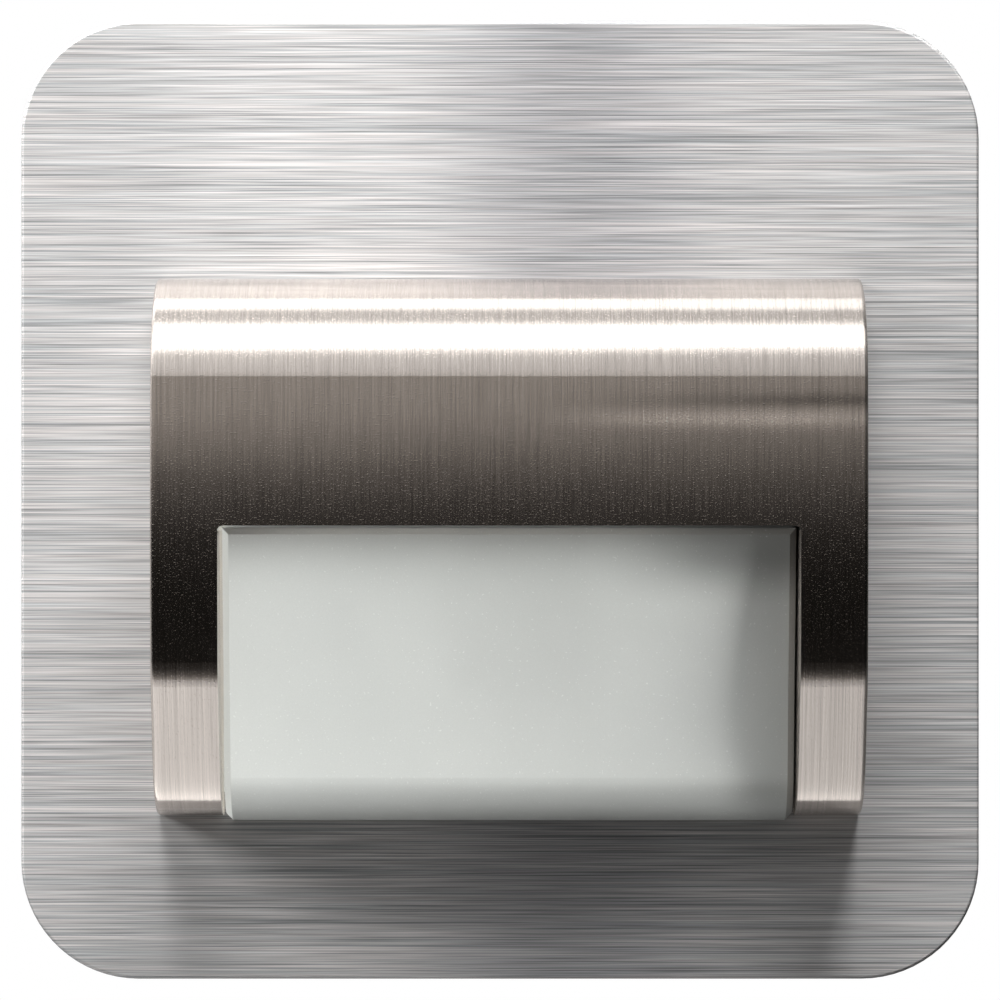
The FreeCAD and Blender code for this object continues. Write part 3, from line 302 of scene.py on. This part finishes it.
def frosted_glass():
    """Acid-etched glass, milky and faintly green, which shows the lamp behind it as a soft spot, with
    painted shade and light.
    """
    material, tree, shader, place = new_material("frosted_glass")
    fine = noise(tree, place, 1.2e-4, 3, 0.7)
    cloud = noise(tree, place, 6e-3, 3)
    offset = add(tree, "VectorMath", {0: place, 1: SPOT}, operation="SUBTRACT").outputs[0]
    squeezed = add(tree, "VectorMath", {0: offset, 1: (1.0, 0.0, 0.8)}, operation="MULTIPLY").outputs[0]
    x, _, z = split(tree, place)
    # painted shadow under the hood's right corner
    painted_corner_shadow = times(
        tree, rescale(tree, x, 0.007, 0.018, 0.0, 0.55, smooth=True),
        rescale(tree, z, -0.0085, -0.004, smooth=True),
    )
    shade = times(
        tree,
        rescale(tree, length(tree, squeezed), 0.002, 0.009, 0.94, 1.0, smooth=True),
        rescale(tree, cloud, 0.3, 0.7, 0.985, 1.015),
        rescale(tree, x, -0.018, 0.006, 1.03, 0.80),  # painted shade, dimmer to the right
        rescale(tree, x, 0.0165, 0.0225, 1.0, 0.64, smooth=True),  # painted shadow of the hood's right leg along the right edge
        calc(tree, "SUBTRACT", 1.0, painted_corner_shadow),  # and a painted shadow under the hood's right corner
        rescale(tree, z, -0.0245, -0.0228, 1.16, 1.0),  # painted light, lighter along the foot
        rescale(tree, fine, 0.3, 0.7, 0.975, 1.025),
    )
    specks = rescale(tree, noise(tree, place, 1.6e-4, 0), 0.76, 0.82, 0.0, 0.15)
    base = shaded(tree, (0.70, 0.72, 0.69), calc(tree, "ADD", shade, specks))
    tree.links.new(base, shader.inputs["Base Color"])
    shader.inputs["Roughness"].default_value = 0.42
    shader.inputs["IOR"].default_value = 1.5
    bump(tree, shader, fine, 2.5e-6)
    return material


SPECIAL = {"plate_steel": plate_steel, "hood_nickel": hood_nickel, "frosted_glass": frosted_glass}
# Colour, roughness, grain in metres, and where they differ how far it varies, its depth and metal
PLAIN = {
    "silicone": ((0.78, 0.78, 0.76), 0.45, 3e-4),
    "foam_rubber": ((0.035, 0.035, 0.036), 0.85, 2.5e-4, 0.25, 3e-5),
    "housing_plastic": ((0.045, 0.046, 0.048), 0.42, 2.5e-4, 0.10, 6e-6),
    "white_plastic": ((0.82, 0.82, 0.80), 0.4, 2e-4),
    "board_metal": ((0.86, 0.86, 0.84), 0.35, 2e-4),
    "led_package": ((0.88, 0.80, 0.42), 0.35, 1e-4),
    "zinc_steel": ((0.68, 0.69, 0.70), 0.3, 1.5e-4, 0.08, 3e-6, 1.0),
    "spreader_metal": ((0.72, 0.73, 0.74), 0.38, 2e-4, 0.06, 4e-6, 1.0),
    "board_green": ((0.03, 0.16, 0.07), 0.35, 4e-4, 0.12),
    "capacitor_sleeve": ((0.03, 0.035, 0.07), 0.3, 3e-4),
    "film_case": ((0.55, 0.10, 0.03), 0.35, 2e-4),
    "ferrite": ((0.05, 0.045, 0.045), 0.5, 1.5e-4, 0.15, 6e-6),
    "package_black": ((0.02, 0.02, 0.021), 0.45, 1e-4),
    "resistor_body": ((0.16, 0.30, 0.33), 0.4, 1.5e-4),
    "varistor_blue": ((0.03, 0.13, 0.42), 0.35, 2e-4),
    "brass": ((0.80, 0.58, 0.25), 0.3, 2e-4, 0.08, 3e-6, 1.0),
    "tinned_brass": ((0.72, 0.70, 0.66), 0.3, 1.5e-4, 0.08, 3e-6, 1.0),
    "terminal_grey": ((0.42, 0.43, 0.44), 0.45, 2e-4),
    "spring_steel": ((0.62, 0.62, 0.62), 0.28, 2e-4, 0.08, 3e-6, 1.0),
}


def finish_of(name):
    return SPECIAL[name]() if name in SPECIAL else plain(name, *PLAIN[name])


def dress_nodes():
    """Each node's plain material, which is named after its slot, gives way to that slot's finish."""
    plain_ones = {slot.material for node in nodes.values() for slot in node.material_slots}
    for old in sorted(plain_ones, key=lambda material: material.name):
        name = old.name
        old.name = name + "_plain"
        old.user_remap(finish_of(name))
        bpy.data.materials.remove(old)


# Details that the solids leave out

def cross_recesses(node, places, outer_y, head_r):
    """Crosses sunk in the heads of a node's screws, level with their tops, which are at outer_y, and black
    as painted shade in the recess.
    """
    reach, half = RECESS_REACH * head_r, RECESS_HALF * head_r
    way = 1 if outer_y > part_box(node)[0].y + SAME_PLACE else -1
    outline = [
        (reach, half), (half, half), (half, reach), (-half, reach), (-half, half), (-reach, half),
        (-reach, -half), (-half, -half), (-half, -reach), (half, -reach), (half, -half), (reach, -half),
    ]
    top_y, low_y = outer_y + way * RECESS_PROUD, outer_y - way * RECESS_DEPTH
    mesh = bmesh.new()
    for x, z in places:
        top = [mesh.verts.new((x + a, top_y, z + b)) for a, b in outline]
        low = [mesh.verts.new((x + a * RECESS_TAPER, low_y, z + b * RECESS_TAPER)) for a, b in outline]
        mesh.faces.new(top)
        mesh.faces.new(low[::-1])
        for i in range(len(outline)):
            j = (i + 1) % len(outline)
            mesh.faces.new((top[j], top[i], low[i], low[j]))
    bmesh.ops.recalc_face_normals(mesh, faces=mesh.faces)
    data = bpy.data.meshes.new(node + "_recesses")
    mesh.to_mesh(data)
    mesh.free()
    piece = bpy.data.objects.new(node + "_recesses", data)
    bpy.context.scene.collection.objects.link(piece)
    # black: painted shade inside the recess
    data.materials.append(bpy.data.materials["package_black"])
    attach(piece, "root")


def dress_screws():
    """Each node is a pair of screws: on the rear wall side by side, and inside one above the other."""
    for node in ("block_screws", "clamp_screws"):
        low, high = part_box(node)
        r, z = (high.z - low.z) / 2, (high.z + low.z) / 2
        cross_recesses(node, [(low.x + r, z), (high.x - r, z)], high.y, r)
    low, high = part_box("driver_screws")
    r = (high.x - low.x) / 2
    cross_recesses("driver_screws", [(0.0, low.z + r), (0.0, high.z - r)], low.y, r)


# World, floor, lamps and camera

SKY = [  # turn about X from the horizon in front (degrees), radiance
    (-180, 0.9), (-115, 1.5), (-102, 1.2), (-90, 0.95), (-74, 0.86), (-40, 0.82), (-36, 0.55), (-32, 0.2),
    (-27, 0.07), (-18, 0.02), (-8, 0.006), (-2, 0.012), (0, 0.03), (1, 0.042), (3, 0.09), (4.5, 0.17),
    (6, 0.27), (9, 0.34), (13, 0.36), (16, 0.78), (33, 0.83), (42, 1.8), (46, 4.0), (64, 4.0), (68, 1.9),
    (75, 0.85), (87, 0.68), (93, 2.1), (150, 2.6), (166, 1.1), (180, 1.0),
]
SKY_TOP = 4.0
SKY_WARMTH, SKY_WARM_BELOW = 0.06, 0.4  # its dim parts are a little warmer
WHITE = (1.0, 1.0, 1.0)


def background(tree, colour, strength):
    return add(tree, "Background", {"Color": colour, "Strength": strength}).outputs[0]


def seen_rays(tree):
    """1 for the rays that show what is behind the object, as the camera or through glass."""
    rays = add(tree, "LightPath").outputs
    return calc(tree, "MAXIMUM", rays["Is Camera Ray"], rays["Is Transmission Ray"])


def sky_stop(angle, level):
    warmth = SKY_WARMTH if level < SKY_WARM_BELOW else 0.0
    return (angle + 180) / 360, [level / SKY_TOP * tint for tint in (1 + warmth, 1, 1 - warmth)]


def make_world():
    """White to the camera. Metal reflects a studio: strips that run along X, and a dark gap in front."""
    world = bpy.data.worlds.new("studio")
    bpy.context.scene.world = world
    world.use_nodes = True
    tree = world.node_tree
    tree.nodes.clear()
    x, y, z = split(tree, add(tree, "TexCoord").outputs["Generated"])
    turn = calc(tree, "ARCTAN2", z, times(tree, y, -1.0))
    strips = colour_ramp(tree, rescale(tree, turn, -math.pi, math.pi), [sky_stop(*stop) for stop in SKY])
    from_left = rescale(tree, x, -0.3, 0.3, 1.75 * SKY_TOP, 0.25 * SKY_TOP)
    dim_ends = rescale(tree, calc(tree, "ABSOLUTE", x), 0.45, 0.8, 1.0, 0.35, smooth=True)
    studio = background(tree, strips, times(tree, from_left, dim_ends))
    from_behind = rescale(tree, y, -0.2, 0.3, 0.0, 0.3)
    ambient = calc(tree, "ADD", from_behind, rescale(tree, z, -0.1, 0.6, 0.01, 0.2))
    soft = background(tree, (*WHITE, 1.0), ambient)
    is_glossy = add(tree, "LightPath").outputs["Is Glossy Ray"]
    lit = add(tree, "MixShader", {0: is_glossy, 1: soft, 2: studio}).outputs[0]
    white = background(tree, (*WHITE, 1.0), 1.0)
    shown = add(tree, "MixShader", {0: seen_rays(tree), 1: lit, 2: white}).outputs[0]
    tree.links.new(shown, add(tree, "OutputWorld").inputs["Surface"])


def make_floor():
    """A pale floor well under the light. It fades into white, and throws little light back up."""
    bpy.ops.mesh.primitive_circle_add(
        vertices=FLOOR_SIDES, radius=FLOOR_R, fill_type="NGON", location=(0, 0, FLOOR_Z)
    )
    floor = bpy.context.object
    floor.name = "floor"
    material, tree, shader, place = new_material("floor_white")
    seen = seen_rays(tree)
    tree.links.new(blend(tree, seen, (0.08, 0.08, 0.08), (0.86, 0.86, 0.86)), shader.inputs["Base Color"])
    shader.inputs["Roughness"].default_value = 0.9
    shader.inputs["Specular IOR Level"].default_value = 0.1
    glow = add(tree, "Emission", {"Color": (*WHITE, 1.0), "Strength": seen}).outputs[0]
    fade = rescale(tree, length(tree, place), *FLOOR_FADE, 0.3, 1.0, smooth=True)
    mixed = add(tree, "MixShader", {0: fade, 1: shader.outputs[0], 2: glow}).outputs[0]
    tree.links.new(mixed, tree.nodes["Material Output"].inputs["Surface"])
    floor.data.materials.append(material)
    floor.visible_glossy = False


def make_lamp(name, place, size, watts, spread=180):
    """A soft box that faces the middle of the plate. Metal reflects the studio and not the lamps."""
    light = bpy.data.lights.new(name, "AREA")
    light.shape = "RECTANGLE"
    light.size, light.size_y = size
    light.energy = watts
    light.spread = math.radians(spread)
    lamp = bpy.data.objects.new(name, light)
    bpy.context.scene.collection.objects.link(lamp)
    lamp.location = place
    lamp.rotation_mode = "QUATERNION"
    lamp.rotation_quaternion = (-Vector(place)).to_track_quat("-Z", "Y")
    lamp.visible_glossy = False
    lamp.visible_camera = False
    return lamp


def light_only(lamp, *names):
    """The lamp lights these nodes alone."""
    group = bpy.data.collections.new(lamp.name + "_lights")
    for name in names:
        group.objects.link(nodes[name])
    lamp.light_linking.receiver_collection = group


def make_lamps():
    """The key rakes down over the plate, and the glass has two lamps of its own.

    One comes from the right, and the hood shades it. The other comes from the left and lights the glass's
    left rim, because the hood doesn't shade it.
    """
    make_lamp("key", (-0.03, -0.075, 0.42), (0.38, 0.16), 1.95, 70)
    lens_light = make_lamp("lens_light", (0.42, -0.22, 0.20), (0.26, 0.26), 4.7)
    light_only(lens_light, "lens", "light_box", "lens_seal")
    lens_fill = make_lamp("lens_fill", (-0.40, -0.18, 0.0), (0.2, 0.2), 1.5)
    light_only(lens_fill, "lens", "lens_seal")
    lens_fill.light_linking.blocker_collection = lens_fill.light_linking.receiver_collection
    make_lamp("side_left", (-0.30, -0.05, 0.15), (0.14, 0.14), 0.36, 70)
    make_lamp("rear_left", (-0.35, 0.45, 0.25), (0.3, 0.3), 1.1)
    make_lamp("rear_right", (0.45, 0.35, 0.10), (0.3, 0.3), 0.7)


def make_camera():
    data = bpy.data.cameras.new("camera")
    data.sensor_width = SENSOR_WIDTH
    data.lens = SENSOR_WIDTH * (PLATE_FRONT_Y - CAMERA_Y) / FRAME_WIDTH
    data.clip_start, data.clip_end = 0.01, 20.0
    camera = bpy.data.objects.new("camera", data)
    bpy.context.scene.collection.objects.link(camera)
    camera.location = (0.0, CAMERA_Y, 0.0)
    camera.rotation_euler = (math.radians(90), 0.0, 0.0)
    bpy.context.scene.camera = camera


dress_nodes()
dress_screws()
make_camera()
make_world()
make_floor()
make_lamps()
bpy.context.scene.view_settings.view_transform = "Standard"
